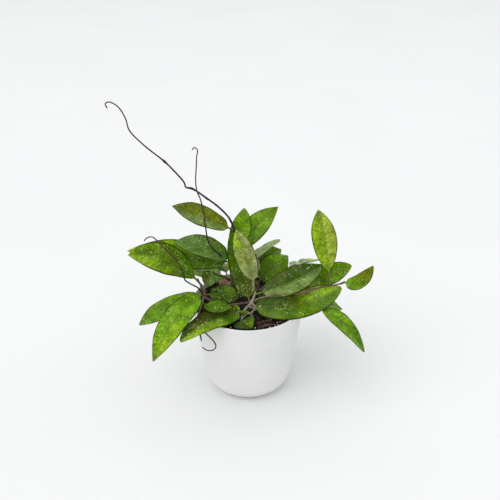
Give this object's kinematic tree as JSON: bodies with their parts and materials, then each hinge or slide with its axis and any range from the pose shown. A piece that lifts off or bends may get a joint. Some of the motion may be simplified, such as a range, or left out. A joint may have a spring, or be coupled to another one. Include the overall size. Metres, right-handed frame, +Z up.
{
  "type": "potted hoya plant",
  "caption": "Trailing hoya with thick, flecked, pointed leaves and bare curling tendrils, rooted in dark soil in a plain white tapered pot with a rounded base.",
  "frame": {"origin": "centre of the flat underside of the pot, on the surface it stands on", "axes": "+Z up along the pot axis; +Y to the back of the plant, away from its usual view; +X to the right as it is seen, so the long bare tendril reaches towards -X"},
  "size_m": [0.2873, 0.2021, 0.3426],
  "materials": {
    "pot": "smooth white plastic with a soft sheen",
    "soil": "dark loose potting mix with pale grains",
    "stem": "grey-brown bark, greener on young growth",
    "bark": "rough reddish-brown bark",
    "leaf_bright": "waxy yellow-green leaf with pale flecks",
    "leaf_green": "waxy mid-green leaf with pale flecks",
    "leaf_dark": "waxy dark olive leaf with pale flecks",
    "leaf_silver": "waxy grey-green leaf with a silvery bloom",
    "dry_leaf": "dry, matt, pinkish brown"
  },
  "bodies": {
    "root": {"pot": "pot", "soil": "soil", "vine_main": "stem", "vine_back": "stem", "vine_rear": "stem", "bark_curl": "bark", "bark_chip_front": "bark", "bark_chip_back": "bark", "leaf_high_left": "leaf_dark", "leaf_top_middle": "leaf_green", "leaf_top_right": "leaf_green", "leaf_pale_upright": "leaf_silver", "leaf_dark_upright": "leaf_dark", "leaf_left_front": "leaf_bright", "leaf_left_long": "leaf_bright", "leaf_left_grey": "leaf_silver", "leaf_left_inner": "leaf_silver", "leaf_inner_upright": "leaf_dark", "leaf_left_arched": "leaf_green", "leaf_left_drooping": "leaf_bright", "leaf_small_inner": "leaf_dark", "leaf_small_bright": "leaf_bright", "leaf_over_rim": "leaf_dark", "leaf_at_rim": "leaf_green", "leaf_inner_dark": "leaf_dark", "leaf_grey_narrow": "leaf_silver", "leaf_rear_dark": "leaf_dark", "leaf_rear_bright": "leaf_green", "leaf_back_thin": "leaf_silver", "leaf_back_far": "leaf_silver", "leaf_right_upright": "leaf_bright", "leaf_right_behind": "leaf_dark", "leaf_right_curled": "leaf_bright", "leaf_right_silver": "leaf_silver", "leaf_right_inner": "leaf_dark", "leaf_right_broad": "leaf_green", "leaf_right_drooping": "leaf_bright", "leaf_right_hidden": "leaf_green", "leaf_right_rear": "leaf_dark", "leaf_back_left": "leaf_green", "leaf_back_low": "leaf_dark", "leaf_back_middle": "leaf_bright", "leaf_back_right": "leaf_green", "leaf_back_upright": "leaf_green", "leaf_back_shoulder": "leaf_dark", "dry_leaf": "dry_leaf", "young_shoot": "leaf_bright"}
  },
  "joints": []
}
